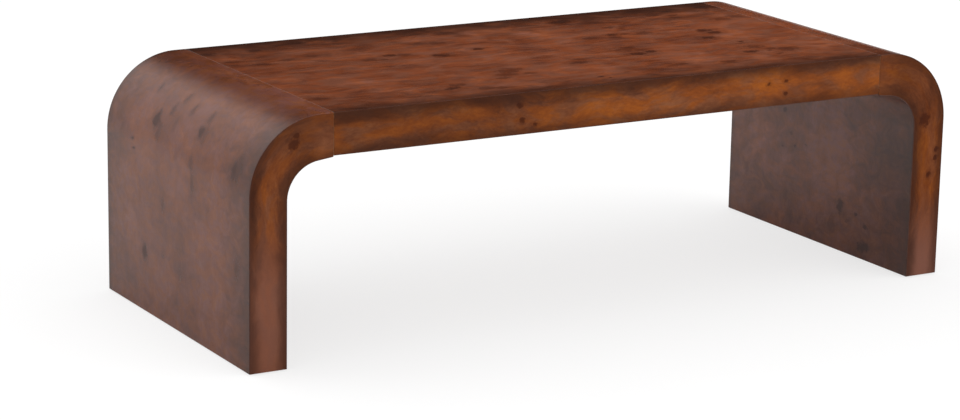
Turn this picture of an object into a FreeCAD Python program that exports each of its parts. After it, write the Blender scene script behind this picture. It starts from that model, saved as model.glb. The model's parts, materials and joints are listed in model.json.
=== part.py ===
import FreeCAD, Part
import math
import os
import re
import Sketcher

# A coffee table whose top turns down into its two legs. It is three hollow sections joined end to end:
# a left leg unit, a top panel and a right leg unit. Each section is a wooden frame between an outer and an
# inner skin, and every face that shows is covered with veneer.
#
# The origin is on the floor under the middle of the table. +X runs along the table to its right end,
# +Y runs to its back and +Z runs up.

# Driving dimensions in millimetres, with the slope in degrees and the counts as whole numbers
SIZES = {
    "table_length": 1365,
    "table_depth": 560,
    "table_height": 412.5,
    "top_thickness": 70,
    "leg_thickness": 66,
    "bend_radius": 127.5,
    "bend_to_rail": 2,
    "underside_slope": 7,
    "seam_step": 2,
    "seam_bevel": 0.7,
    "veneer": 1.2,
    "skin": 5,
    "former_thickness": 18,
    "leg_rib_count": 2,
    "foot_rail_height": 30,
    "seam_rail_width": 18,
    "end_rail_width": 50,
    "side_rail_width": 25,
    "cross_rib_thickness": 18,
    "cross_rib_count": 4,
    "dowel_radius": 4,
    "dowel_clearance": 0.1,
    "dowel_end_gap": 0.8,
    "dowel_in_seam_rail": 13,
    "dowel_in_end_rail": 19,
    "dowel_chamfer": 1,
    "dowel_inset": 45,
    "dowel_count": 4,
    "cam_radius": 7.5,
    "cam_clearance": 0.1,
    "cam_rise": 5.5,
    "cam_setback": 34,
    "cam_inset": 120,
    "cam_count": 3,
    "cam_slot_length": 9,
    "cam_slot_width": 2,
    "cam_slot_depth": 2,
    "bolt_height": 17,
    "bolt_thread_radius": 3,
    "bolt_thread_length": 12,
    "thread_clearance": 0.05,
    "bolt_shank_radius": 3.5,
    "bolt_bore_clearance": 0.5,
    "bolt_neck_radius": 2.4,
    "bolt_neck_length": 6,
    "bolt_head_length": 5,
    "bolt_head_clearance": 0.3,
    "bolt_end_gap": 0.5,
    "cap_radius": 9,
    "cap_thickness": 1.2,
    "cap_plug_height": 2,
    "cap_plug_clearance": 0.1,
    "cap_to_cam": 0.3,
    "glide_radius": 12,
    "glide_thickness": 5,
    "glide_stand": 2,
    "glide_chamfer": 0.8,
    "glide_clearance": 0.2,
    "glide_inset": 60,
    "glide_count": 3,
    "screw_radius": 1.75,
    "screw_clearance": 0.05,
    "screw_head_radius": 3.4,
    "screw_head_height": 1.7,
    "screw_sink": 0.6,
    "screw_length": 18,
    "screw_point": 2.5,
    "screw_slot_width": 0.8,
    "screw_slot_depth": 0.8,
}

doc = FreeCAD.newDocument("coffee_table")
sheet = doc.addObject("Spreadsheet::Sheet", "sizes")
for row, (name, number) in enumerate(SIZES.items(), start=1):
    sheet.set(f"A{row}", name)
    sheet.set(f"B{row}", str(number))
    sheet.setAlias(f"B{row}", name)
doc.recompute()

# Formulas that several pieces share. A leg unit is drawn with its end plane at x = 0 and +X towards the
# top panel, and a seam's own pieces with the seam at x = 0 and the top panel's underside at z = 0.
SEAM = "(bend_radius + bend_to_rail + seam_rail_width)"
RAIL_START = "(bend_radius + bend_to_rail)"
HALF_DEPTH = "table_depth / 2"
HALF_PANEL = f"(table_length / 2 - {SEAM})"
PANEL_UNDERSIDE = "(table_height - top_thickness)"
FACING = "(veneer + skin)"
FRAME_DEPTH = "(table_depth - 2 * veneer)"
FRAME_HEIGHT = f"(top_thickness - 2 * {FACING})"
FORMERS_START = "(glide_stand + foot_rail_height)"
DOWEL_ROW = "(table_depth - 2 * dowel_inset)"
CAM_ROW = "(table_depth - 2 * cam_inset)"
GLIDE_ROW = "(table_depth - 2 * glide_inset)"
INSIDE_RADIUS = "(bend_radius - leg_thickness)"
UNDERSIDE_FALL = f"({INSIDE_RADIUS} + ({SEAM} - bend_radius) * sin(underside_slope)) / cos(underside_slope)"
OUTER_CENTRE = "(table_height - bend_radius)"
INNER_CENTRE = f"({PANEL_UNDERSIDE} - seam_step - {UNDERSIDE_FALL})"

# How a sketch numbers its own axes, and the points of a side or a circle
LEVEL_AXIS, UPRIGHT_AXIS = range(-1, -3, -1)
START, END, CENTRE = range(1, 4)

UP = FreeCAD.Vector(0, 0, 1)
HALF_TURN = FreeCAD.Rotation(UP, 180)
SAME_SPOT = 1e-6
pieces = []


def in_cells(formula):
    """Point every size that a formula names at its cell in the sheet."""
    return re.sub("[a-z_]+", lambda word: f"sizes.{word[0]}" if word[0] in SIZES else word[0], formula)


def worked_out(formula):
    """The number that a formula gives with the sheet's sizes."""
    return float(sheet.evalExpression(in_cells(formula)))


def bind(thing, field, formula):
    """Tie one field of an object to a formula of the sheet's sizes."""
    thing.setExpression(field, in_cells(formula))


def new_body(name):
    """Start a piece that is drawn with sketches."""
    body = doc.addObject("PartDesign::Body", name)
    pieces.append(body)
    return body


def origin_part(body, role):
    """One plane or axis of a body's own origin."""
    return [part for part in body.Origin.OriginFeatures if part.Role == role][0]


def new_sketch(body, name, plane, lift="0"):
    """Start a sketch on an origin plane, lifted along the sketch's normal.

    The normals are +Z on XY_Plane, +X on YZ_Plane and, because that sketch is seen from the front,
    -Y on XZ_Plane.
    """
    sketch = body.newObject("Sketcher::SketchObject", f"{body.Name}_{name}")
    sketch.AttachmentSupport = [(origin_part(body, plane), "")]
    sketch.MapMode = "FlatFace"
    bind(sketch, "AttachmentOffset.Base.z", lift)
    return sketch


def hold(sketch, kind, corner, formula):
    """Hold a corner of a sketch at a distance from the sketch's origin, or on its axis where that is 0."""
    if formula == "0":
        axis = UPRIGHT_AXIS if kind == "DistanceX" else LEVEL_AXIS
        sketch.addConstraint(Sketcher.Constraint("PointOnObject", *corner, axis))
        return
    distance = Sketcher.Constraint(kind, LEVEL_AXIS, START, *corner, worked_out(formula))
    number = sketch.addConstraint(distance)
    bind(sketch, f"Constraints[{number}]", formula)


def hold_radius(sketch, side, formula):
    """Hold the radius of an arc or a circle."""
    number = sketch.addConstraint(Sketcher.Constraint("Radius", side, worked_out(formula)))
    bind(sketch, f"Constraints[{number}]", formula)


def add_arc(sketch, start, end, radius, turn):
    """Add an arc of less than half a circle, turning left or right from its start to its end.

    It gives the arc's number and those of its start and end.
    """
    if turn == "right":
        side, arc_end, arc_start = add_arc(sketch, end, start, radius, "left")
        return side, arc_start, arc_end
    chord = end - start
    rise = math.sqrt(radius ** 2 - (chord.Length / 2) ** 2)
    centre = (start + end) / 2 + FreeCAD.Vector(-chord.y, chord.x, 0).normalize() * rise
    angles = [math.atan2(spot.y - centre.y, spot.x - centre.x) for spot in (start, end)]
    side = sketch.addGeometry(Part.ArcOfCircle(Part.Circle(centre, UP, radius), *angles))
    return side, START, END


def draw_outline(sketch, steps):
    """Draw a closed outline through its corners, in order.

    A step is (across, up), where a straight side ends, or (across, up, radius, turn), where an arc ends.
    """
    spots = [FreeCAD.Vector(worked_out(step[0]), worked_out(step[1]), 0) for step in steps]
    sides = []
    for index, step in enumerate(steps):
        start = spots[index - 1]
        end = spots[index]
        if len(step) == 2:
            sides.append((sketch.addGeometry(Part.LineSegment(start, end)), START, END))
        else:
            sides.append(add_arc(sketch, start, end, worked_out(step[2]), step[3]))
    for index, (side, side_start, side_end) in enumerate(sides):
        following, following_start, following_end = sides[(index + 1) % len(sides)]
        sketch.addConstraint(Sketcher.Constraint("Coincident", side, side_end, following, following_start))
    for step, (side, side_start, side_end) in zip(steps, sides):
        hold(sketch, "DistanceX", (side, side_end), step[0])
        hold(sketch, "DistanceY", (side, side_end), step[1])
        if len(step) > 2:
            hold_radius(sketch, side, step[2])


def draw_rectangle(sketch, left, bottom, right, top):
    """Draw a rectangle between two corners."""
    draw_outline(sketch, [(left, bottom), (right, bottom), (right, top), (left, top)])


def draw_circle(sketch, across, up, radius):
    """Draw a circle about a centre."""
    centre = FreeCAD.Vector(worked_out(across), worked_out(up), 0)
    circle = sketch.addGeometry(Part.Circle(centre, UP, worked_out(radius)))
    hold(sketch, "DistanceX", (circle, CENTRE), across)
    hold(sketch, "DistanceY", (circle, CENTRE), up)
    hold_radius(sketch, circle, radius)


def draw_cross(sketch, half_length, half_width):
    """Draw a cross of two equal bars about the sketch's origin, for a screwdriver."""
    steps = []
    for arm_x, arm_y in ((1, 0), (0, 1), (-1, 0), (0, -1)):
        for along, beside in ((half_length, -1), (half_length, 1), (half_width, 1)):
            steps.append((
                f"{arm_x} * {along} - {arm_y * beside} * {half_width}",
                f"{arm_y} * {along} + {arm_x * beside} * {half_width}",
            ))
    draw_outline(sketch, steps)


def finish_feature(body, feature):
    """Make a new feature the body's result."""
    body.Tip = feature
    doc.recompute()
    return feature


def pad(body, sketch, length, centred=False):
    """Fill a sketch along its normal, or equally to both sides of it."""
    feature = body.newObject("PartDesign::Pad", f"{sketch.Name}_pad")
    feature.Profile = sketch
    feature.SideType = "Symmetric" if centred else "One side"
    bind(feature, "Length", length)
    return finish_feature(body, feature)


def revolve(body, sketch, axis):
    """Turn a sketch about its upright axis (V_Axis) or its level one (H_Axis)."""
    feature = body.newObject("PartDesign::Revolution", f"{sketch.Name}_turned")
    feature.Profile = sketch
    feature.ReferenceAxis = (sketch, [axis])
    return finish_feature(body, feature)


def cut(body, sketch, depth, along_normal):
    """Cut a sketch's shape out of the body, along the sketch's normal or against it."""
    before = body.Tip.Shape.Volume
    feature = body.newObject("PartDesign::Pocket", f"{sketch.Name}_cut")
    feature.Profile = sketch
    feature.Reversed = along_normal
    bind(feature, "Length", depth)
    finish_feature(body, feature)
    if not feature.Shape.Volume < before:
        raise ValueError(f"{feature.Name} cuts nothing")
    return feature


def repeat(body, features, axis, length, count):
    """Repeat features at even steps along one of the body's axes."""
    pattern = body.newObject("PartDesign::LinearPattern", f"{features[0].Name}_row")
    pattern.Originals = features
    pattern.Direction = (origin_part(body, axis), [""])
    bind(pattern, "Length", length)
    bind(pattern, "Occurrences", count)
    return finish_feature(body, pattern)


def chamfer(body, size, chosen):
    """Bevel the edges whose two ends are both chosen."""
    base = body.Tip
    names = [f"Edge{number}" for number, edge in enumerate(base.Shape.Edges, start=1)
             if all(chosen(vertex.Point) for vertex in edge.Vertexes)]
    feature = body.newObject("PartDesign::Chamfer", f"{body.Name}_bevel")
    feature.Base = (base, names)
    bind(feature, "Size", size)
    return finish_feature(body, feature)


def place(piece, x, y, z, turned=False):
    """Put a piece's origin at a place, turned half round about Z where asked."""
    if turned:
        piece.Placement = FreeCAD.Placement(FreeCAD.Vector(), HALF_TURN)
    for axis, formula in zip("xyz", (x, y, z)):
        bind(piece, f"Placement.Base.{axis}", formula)


def place_in_leg(piece, side, x="0", y="0", z="0"):
    """Put a piece into the left or right leg unit, whose frame starts at the table's end on the floor."""
    if side == "left":
        place(piece, f"{x} - table_length / 2", y, z)
    else:
        place(piece, f"table_length / 2 - ({x})", f"-({y})", z, turned=True)


def place_at_seam(piece, side, x="0", y="0", z="0"):
    """Put a piece at the left or right seam, whose frame starts at the top panel's underside."""
    place_in_leg(piece, side, f"{SEAM} + {x}", y, f"{PANEL_UNDERSIDE} + {z}")


def board(name, corner, size):
    """Add a plain board from its lowest corner and its length, width and height."""
    box = doc.addObject("Part::Box", name)
    for field, formula in zip(("Length", "Width", "Height"), size):
        bind(box, field, formula)
    place(box, *corner)
    pieces.append(box)


def bend_line(radius, centre, slope, foot, end):
    """The corners of a line that runs up the leg, round the bend and along to the end.

    It starts at the foot, leaves the leg at the height of the bend's centre, meets the flat and ends.
    """
    upright = f"bend_radius - {radius}"
    return [
        (upright, foot),
        (upright, centre),
        (f"bend_radius - {radius} * sin({slope})", f"{centre} + {radius} * cos({slope})"),
        (end, f"{centre} + ({radius} + ({end} - bend_radius) * sin({slope})) / cos({slope})"),
    ]


def outer_line(inset, foot, end):
    """The leg unit's outer face, moved in by an inset."""
    return bend_line(f"(bend_radius - {inset})", OUTER_CENTRE, "0", foot, end)


def inner_line(inset, foot, end):
    """The leg unit's inner face, moved in by an inset."""
    return bend_line(f"({INSIDE_RADIUS} + {inset})", INNER_CENTRE, "underside_slope", foot, end)


def draw_bend(sketch, outside, outside_radius, inside, inside_radius, bevel=None):
    """Draw the J between two bend lines, with a bevel at the outside's end where asked."""
    end_x, end_z = outside[3]
    tip = [outside[3]]
    if bevel:
        tip = [(f"{end_x} - {bevel}", end_z), (end_x, f"{end_z} - {bevel}")]
    steps = [outside[0], outside[1], (*outside[2], outside_radius, "right")]
    steps += tip
    steps += [inside[3], inside[2], (*inside[1], inside_radius, "left"), inside[0]]
    draw_outline(sketch, steps)


def outer_sheet(side, name, depth, inset, thickness, bevel=None):
    """Add a bent sheet that follows the leg unit's outer face."""
    body = new_body(f"{side}_{name}")
    sketch = new_sketch(body, "profile", "XZ_Plane")
    under = f"({inset} + {thickness})"
    draw_bend(
        sketch,
        outer_line(inset, "glide_stand", SEAM), f"bend_radius - {inset}",
        outer_line(under, "glide_stand", SEAM), f"bend_radius - {under}",
        bevel,
    )
    pad(body, sketch, depth, centred=True)
    place_in_leg(body, side)


def inner_sheet(side, name, depth, inset, thickness):
    """Add a bent sheet that follows the leg unit's inner face."""
    body = new_body(f"{side}_{name}")
    sketch = new_sketch(body, "profile", "XZ_Plane")
    over = f"({inset} + {thickness})"
    draw_bend(
        sketch,
        inner_line(over, "glide_stand", SEAM), f"{INSIDE_RADIUS} + {over}",
        inner_line(inset, "glide_stand", SEAM), f"{INSIDE_RADIUS} + {inset}",
    )
    pad(body, sketch, depth, centred=True)
    place_in_leg(body, side)


def j_board(body, foot, end, inset, start_y, thickness):
    """Fill the whole J between the leg unit's two faces, inset from both, from start_y towards +Y."""
    sketch = new_sketch(body, "profile", "XZ_Plane", f"-({start_y}) - {thickness}")
    draw_bend(
        sketch,
        outer_line(inset, foot, end), f"bend_radius - {inset}",
        inner_line(inset, foot, end), f"{INSIDE_RADIUS} + {inset}",
    )
    return pad(body, sketch, thickness)


def low_y(side, face, inset, thickness):
    """Where a board near the front or back starts, in its leg unit's own frame."""
    towards_low_y = (side == "left") == (face == "front")
    return f"{inset} - {HALF_DEPTH}" if towards_low_y else f"{HALF_DEPTH} - {inset} - {thickness}"


def leg_edge_veneer(side, face):
    """Add the J-shaped veneer on the front or back of a leg unit."""
    body = new_body(f"{side}_{face}_edge_veneer")
    start_y = low_y(side, face, "0", "veneer")
    j_board(body, "glide_stand", SEAM, "veneer", start_y, "veneer")
    seam_x = worked_out(SEAM)
    outside_y = math.copysign(worked_out(HALF_DEPTH), worked_out(start_y))

    def on_seam_edge(point):
        return abs(point.x - seam_x) < SAME_SPOT and abs(point.y - outside_y) < SAME_SPOT

    chamfer(body, "seam_bevel", on_seam_edge)
    place_in_leg(body, side)


def leg_former(side, face):
    """Add the J-shaped board behind the front or back edge veneer."""
    body = new_body(f"{side}_{face}_former")
    start_y = low_y(side, face, "veneer", "former_thickness")
    j_board(body, FORMERS_START, RAIL_START, FACING, start_y, "former_thickness")
    place_in_leg(body, side)


def leg_ribs(side):
    """Add the inner ribs, spread evenly between the front and back formers."""
    body = new_body(f"{side}_ribs")
    pitch = f"({FRAME_DEPTH} - former_thickness) / (leg_rib_count + 1)"
    first = f"veneer - {HALF_DEPTH} + {pitch}"
    rib = j_board(body, FORMERS_START, RAIL_START, FACING, first, "former_thickness")
    repeat(body, [rib], "Y_Axis", f"{pitch} * (leg_rib_count - 1)", "leg_rib_count")
    place_in_leg(body, side)


def foot_rail(side):
    """Add the rail across the bottom of a leg, with a recess and a pilot hole for each glide."""
    body = new_body(f"{side}_foot_rail")
    first_y = f"glide_inset - {HALF_DEPTH}"
    sketch = new_sketch(body, "plan", "XY_Plane", "glide_stand")
    draw_rectangle(sketch, FACING, f"-{FRAME_DEPTH} / 2", f"leg_thickness - {FACING}", f"{FRAME_DEPTH} / 2")
    pad(body, sketch, "foot_rail_height")
    recess = new_sketch(body, "recess", "XY_Plane", "glide_stand")
    draw_circle(recess, "leg_thickness / 2", first_y, "glide_radius + glide_clearance")
    recesses = cut(body, recess, "glide_thickness - glide_stand", along_normal=True)
    repeat(body, [recesses], "Y_Axis", GLIDE_ROW, "glide_count")
    pilot = new_sketch(body, "pilot", "XY_Plane", "glide_thickness")
    draw_circle(pilot, "leg_thickness / 2", first_y, "screw_radius + screw_clearance")
    pilot_depth = "screw_sink + screw_length - glide_thickness + screw_clearance"
    pilots = cut(body, pilot, pilot_depth, along_normal=True)
    repeat(body, [pilots], "Y_Axis", GLIDE_ROW, "glide_count")
    place_in_leg(body, side)


def seam_rail(side):
    """Add the rail across the end of a leg unit, with its dowel and bolt holes."""
    body = new_body(f"{side}_seam_rail")
    sketch = new_sketch(body, "profile", "XZ_Plane")
    top = f"table_height - {FACING}"
    near = inner_line(FACING, "glide_stand", RAIL_START)[3]
    far = inner_line(FACING, "glide_stand", SEAM)[3]
    draw_outline(sketch, [near, far, (SEAM, top), (RAIL_START, top)])
    pad(body, sketch, FRAME_DEPTH, centred=True)
    dowel = new_sketch(body, "dowel_hole", "YZ_Plane", SEAM)
    draw_circle(
        dowel, f"dowel_inset - {HALF_DEPTH}", f"{PANEL_UNDERSIDE} + top_thickness / 2",
        "dowel_radius + dowel_clearance",
    )
    holes = cut(body, dowel, "dowel_in_seam_rail + dowel_end_gap", along_normal=False)
    repeat(body, [holes], "Y_Axis", DOWEL_ROW, "dowel_count")
    bolt = new_sketch(body, "bolt_hole", "YZ_Plane", SEAM)
    draw_circle(
        bolt, f"cam_inset - {HALF_DEPTH}", f"{PANEL_UNDERSIDE} + bolt_height",
        "bolt_thread_radius + thread_clearance",
    )
    holes = cut(body, bolt, "bolt_thread_length + bolt_end_gap", along_normal=False)
    repeat(body, [holes], "Y_Axis", CAM_ROW, "cam_count")
    place_in_leg(body, side)


def glides(side):
    """Add the floor glides of a leg, each a disc with a countersunk hole."""
    body = new_body(f"{side}_glides")
    sketch = new_sketch(body, "profile", "XZ_Plane")
    bore = "(screw_radius + screw_clearance)"
    sink_radius = "(screw_head_radius + screw_clearance)"
    draw_outline(sketch, [
        (sink_radius, "0"),
        ("glide_radius - glide_chamfer", "0"),
        ("glide_radius", "glide_chamfer"),
        ("glide_radius", "glide_thickness"),
        (bore, "glide_thickness"),
        (bore, "screw_sink + screw_head_height"),
        (sink_radius, "screw_sink"),
    ])
    disc = revolve(body, sketch, "V_Axis")
    repeat(body, [disc], "Y_Axis", GLIDE_ROW, "glide_count")
    place_in_leg(body, side, "leg_thickness / 2", f"glide_inset - {HALF_DEPTH}")


def glide_screws(side):
    """Add the countersunk screws that hold the glides, drawn from their heads up."""
    body = new_body(f"{side}_glide_screws")
    sketch = new_sketch(body, "profile", "XZ_Plane")
    draw_outline(sketch, [
        ("0", "0"),
        ("screw_head_radius", "0"),
        ("screw_radius", "screw_head_height"),
        ("screw_radius", "screw_length - screw_point"),
        ("0", "screw_length"),
    ])
    screw = revolve(body, sketch, "V_Axis")
    slot = new_sketch(body, "slot", "XY_Plane")
    draw_cross(slot, "screw_radius", "screw_slot_width / 2")
    slots = cut(body, slot, "screw_slot_depth", along_normal=True)
    repeat(body, [screw, slots], "Y_Axis", GLIDE_ROW, "glide_count")
    place_in_leg(body, side, "leg_thickness / 2", f"glide_inset - {HALF_DEPTH}", "screw_sink")


def cam_bores(body, centres, start_z, depth):
    """Cut bores for cam locks upwards from start_z, a row of them at each centre along X."""
    sketch = new_sketch(body, "cam_bore", "XY_Plane", start_z)
    for centre in centres:
        draw_circle(sketch, centre, f"cam_inset - {HALF_DEPTH}", "cam_radius + cam_clearance")
    bores = cut(body, sketch, depth, along_normal=True)
    repeat(body, [bores], "Y_Axis", CAM_ROW, "cam_count")


def end_rail(side):
    """Add the top panel's rail at a seam, with its dowel, bolt and cam bores."""
    body = new_body(f"{side}_end_rail")
    sketch = new_sketch(body, "plan", "XY_Plane", FACING)
    draw_rectangle(sketch, "0", f"-{FRAME_DEPTH} / 2", "end_rail_width", f"{FRAME_DEPTH} / 2")
    pad(body, sketch, FRAME_HEIGHT)
    dowel = new_sketch(body, "dowel_hole", "YZ_Plane")
    draw_circle(dowel, f"dowel_inset - {HALF_DEPTH}", "top_thickness / 2", "dowel_radius + dowel_clearance")
    holes = cut(body, dowel, "dowel_in_end_rail + dowel_end_gap", along_normal=True)
    repeat(body, [holes], "Y_Axis", DOWEL_ROW, "dowel_count")
    bolt = new_sketch(body, "bolt_bore", "YZ_Plane")
    draw_circle(bolt, f"cam_inset - {HALF_DEPTH}", "bolt_height", "bolt_shank_radius + bolt_bore_clearance")
    bores = cut(body, bolt, "cam_setback", along_normal=True)
    repeat(body, [bores], "Y_Axis", CAM_ROW, "cam_count")
    cam_bores(body, ["cam_setback"], FACING, f"bolt_height + cam_rise + cam_clearance - {FACING}")
    place_at_seam(body, side)


def panel_lower_sheet(name, start_z, thickness, depth):
    """Add the bottom veneer or skin, with the bores for the cam locks of both seams."""
    body = new_body(name)
    sketch = new_sketch(body, "plan", "XY_Plane", start_z)
    draw_rectangle(sketch, f"-{HALF_PANEL}", f"-{depth} / 2", HALF_PANEL, f"{depth} / 2")
    pad(body, sketch, thickness)
    cam_bores(body, [f"cam_setback - {HALF_PANEL}", f"{HALF_PANEL} - cam_setback"], start_z, thickness)
    place(body, "0", "0", PANEL_UNDERSIDE)


def top_veneer():
    """Add the veneer on the top panel, bevelled at both seams."""
    body = new_body("top_veneer")
    sketch = new_sketch(body, "profile", "XZ_Plane")
    draw_outline(sketch, [
        (f"-{HALF_PANEL}", "0"),
        (HALF_PANEL, "0"),
        (HALF_PANEL, "veneer - seam_bevel"),
        (f"{HALF_PANEL} - seam_bevel", "veneer"),
        (f"seam_bevel - {HALF_PANEL}", "veneer"),
        (f"-{HALF_PANEL}", "veneer - seam_bevel"),
    ])
    pad(body, sketch, "table_depth", centred=True)
    place(body, "0", "0", "table_height - veneer")


def panel_edge_veneer(face):
    """Add the veneer on the front or back edge of the top panel, bevelled at both seams."""
    body = new_body(f"top_{face}_edge_veneer")
    way = 1 if face == "front" else -1
    sketch = new_sketch(body, "plan", "XY_Plane")
    draw_outline(sketch, [
        (f"seam_bevel - {HALF_PANEL}", "0"),
        (f"{HALF_PANEL} - seam_bevel", "0"),
        (HALF_PANEL, f"{way} * seam_bevel"),
        (HALF_PANEL, f"{way} * veneer"),
        (f"-{HALF_PANEL}", f"{way} * veneer"),
        (f"-{HALF_PANEL}", f"{way} * seam_bevel"),
    ])
    pad(body, sketch, "top_thickness - 2 * veneer")
    place(body, "0", f"-{way} * {HALF_DEPTH}", f"{PANEL_UNDERSIDE} + veneer")


def cross_ribs():
    """Add the ribs of the top panel, spread evenly between its end rails."""
    body = new_body("top_cross_ribs")
    pitch = f"(2 * ({HALF_PANEL} - end_rail_width) + cross_rib_thickness) / (cross_rib_count + 1)"
    start = f"end_rail_width - {HALF_PANEL} - cross_rib_thickness + {pitch}"
    half_width = f"({FRAME_DEPTH} / 2 - side_rail_width)"
    sketch = new_sketch(body, "plan", "XY_Plane")
    draw_rectangle(sketch, start, f"-{half_width}", f"{start} + cross_rib_thickness", half_width)
    rib = pad(body, sketch, FRAME_HEIGHT)
    repeat(body, [rib], "X_Axis", f"{pitch} * (cross_rib_count - 1)", "cross_rib_count")
    place(body, "0", "0", f"{PANEL_UNDERSIDE} + {FACING}")


def dowels(side):
    """Add the wood dowels across a seam, each with chamfered ends."""
    body = new_body(f"{side}_dowels")
    sketch = new_sketch(body, "profile", "XZ_Plane")
    draw_outline(sketch, [
        ("-dowel_in_seam_rail", "0"),
        ("dowel_in_end_rail", "0"),
        ("dowel_in_end_rail", "dowel_radius - dowel_chamfer"),
        ("dowel_in_end_rail - dowel_chamfer", "dowel_radius"),
        ("dowel_chamfer - dowel_in_seam_rail", "dowel_radius"),
        ("-dowel_in_seam_rail", "dowel_radius - dowel_chamfer"),
    ])
    dowel = revolve(body, sketch, "H_Axis")
    repeat(body, [dowel], "Y_Axis", DOWEL_ROW, "dowel_count")
    place_at_seam(body, side, "0", f"dowel_inset - {HALF_DEPTH}", "top_thickness / 2")


def cam_bolts(side):
    """Add the bolts that are screwed into the seam rail and end in a head inside each cam lock."""
    body = new_body(f"{side}_cam_bolts")
    sketch = new_sketch(body, "profile", "XZ_Plane")
    head_start = "cam_setback - bolt_head_length / 2"
    neck_start = f"{head_start} - bolt_neck_length"
    draw_outline(sketch, [
        ("-bolt_thread_length", "0"),
        ("cam_setback + bolt_head_length / 2", "0"),
        ("cam_setback + bolt_head_length / 2", "bolt_shank_radius"),
        (head_start, "bolt_shank_radius"),
        (head_start, "bolt_neck_radius"),
        (neck_start, "bolt_neck_radius"),
        (neck_start, "bolt_shank_radius"),
        ("0", "bolt_shank_radius"),
        ("0", "bolt_thread_radius"),
        ("-bolt_thread_length", "bolt_thread_radius"),
    ])
    bolt = revolve(body, sketch, "H_Axis")
    repeat(body, [bolt], "Y_Axis", CAM_ROW, "cam_count")
    place_at_seam(body, side, "0", f"cam_inset - {HALF_DEPTH}", "bolt_height")


def cam_locks(side):
    """Add the cam locks, each a drum with a mouth for the bolt's head and a cross for a screwdriver."""
    body = new_body(f"{side}_cam_locks")
    start_z = "(cap_plug_height + cap_to_cam)"
    drum = new_sketch(body, "plan", "XY_Plane", start_z)
    draw_circle(drum, "0", "0", "cam_radius")
    drums = pad(body, drum, f"bolt_height + cam_rise - {start_z}")
    mouth = new_sketch(body, "mouth", "YZ_Plane", "-cam_radius")
    draw_circle(mouth, "0", "bolt_height", "bolt_shank_radius + bolt_head_clearance")
    mouths = cut(body, mouth, "cam_radius + bolt_head_length / 2 + bolt_head_clearance", along_normal=True)
    cross = new_sketch(body, "cross", "XY_Plane", start_z)
    draw_cross(cross, "cam_slot_length / 2", "cam_slot_width / 2")
    crosses = cut(body, cross, "cam_slot_depth", along_normal=True)
    repeat(body, [drums, mouths, crosses], "Y_Axis", CAM_ROW, "cam_count")
    place_at_seam(body, side, "cam_setback", f"cam_inset - {HALF_DEPTH}")


def cam_caps(side):
    """Add the cover caps that plug the cam bores from below."""
    body = new_body(f"{side}_cam_caps")
    sketch = new_sketch(body, "profile", "XZ_Plane")
    plug_radius = "cam_radius - cap_plug_clearance"
    draw_outline(sketch, [
        ("0", "-cap_thickness"),
        ("cap_radius - cap_thickness / 2", "-cap_thickness"),
        ("cap_radius", "-cap_thickness / 2"),
        ("cap_radius", "0"),
        (plug_radius, "0"),
        (plug_radius, "cap_plug_height"),
        ("0", "cap_plug_height"),
    ])
    cap = revolve(body, sketch, "V_Axis")
    repeat(body, [cap], "Y_Axis", CAM_ROW, "cam_count")
    place_at_seam(body, side, "cam_setback", f"cam_inset - {HALF_DEPTH}")


# The two leg units, each with the joint hardware at its seam
for side in ("left", "right"):
    outer_sheet(side, "outer_veneer", "table_depth", "0", "veneer", bevel="seam_bevel")
    outer_sheet(side, "outer_skin", FRAME_DEPTH, "veneer", "skin")
    inner_sheet(side, "inner_veneer", "table_depth", "0", "veneer")
    inner_sheet(side, "inner_skin", FRAME_DEPTH, "veneer", "skin")
    for face in ("front", "back"):
        leg_edge_veneer(side, face)
        leg_former(side, face)
    leg_ribs(side)
    foot_rail(side)
    seam_rail(side)
    glides(side)
    glide_screws(side)
    end_rail(side)
    dowels(side)
    cam_bolts(side)
    cam_locks(side)
    cam_caps(side)

# The top panel
top_veneer()
panel_lower_sheet("bottom_veneer", "0", "veneer", "table_depth")
panel_lower_sheet("bottom_skin", "veneer", "skin", FRAME_DEPTH)
board(
    "top_skin",
    (f"-{HALF_PANEL}", f"-{FRAME_DEPTH} / 2", f"table_height - {FACING}"),
    (f"2 * {HALF_PANEL}", FRAME_DEPTH, "skin"),
)
for face, rail_y in (("front", f"-{FRAME_DEPTH} / 2"), ("back", f"{FRAME_DEPTH} / 2 - side_rail_width")):
    panel_edge_veneer(face)
    board(
        f"top_{face}_rail",
        (f"end_rail_width - {HALF_PANEL}", rail_y, f"{PANEL_UNDERSIDE} + {FACING}"),
        (f"2 * ({HALF_PANEL} - end_rail_width)", "side_rail_width", FRAME_HEIGHT),
    )
cross_ribs()

doc.recompute()
for thing in doc.Objects:
    if "Invalid" in thing.State or "Error" in thing.State:
        raise RuntimeError(f"{thing.Name} is {thing.State}")
for piece in pieces:
    if piece.Shape.isNull() or not piece.Shape.isValid() or not piece.Shape.Solids:
        raise RuntimeError(f"{piece.Label} has no sound solid")

os.makedirs("parts", exist_ok=True)
for piece in pieces:
    piece.Shape.exportStep(f"parts/{piece.Label}.step")
print(len(pieces), "pieces written")
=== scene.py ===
"""The coffee table's looks: bevelled veneer sheets with a burl grain, the finish of every other piece,
a pale studio and the camera. Metres, +Z up, the table stands on z = 0 and its front faces -Y."""
import json
import math
from collections import namedtuple
import bmesh
import bpy
from mathutils import Matrix, Vector

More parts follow.
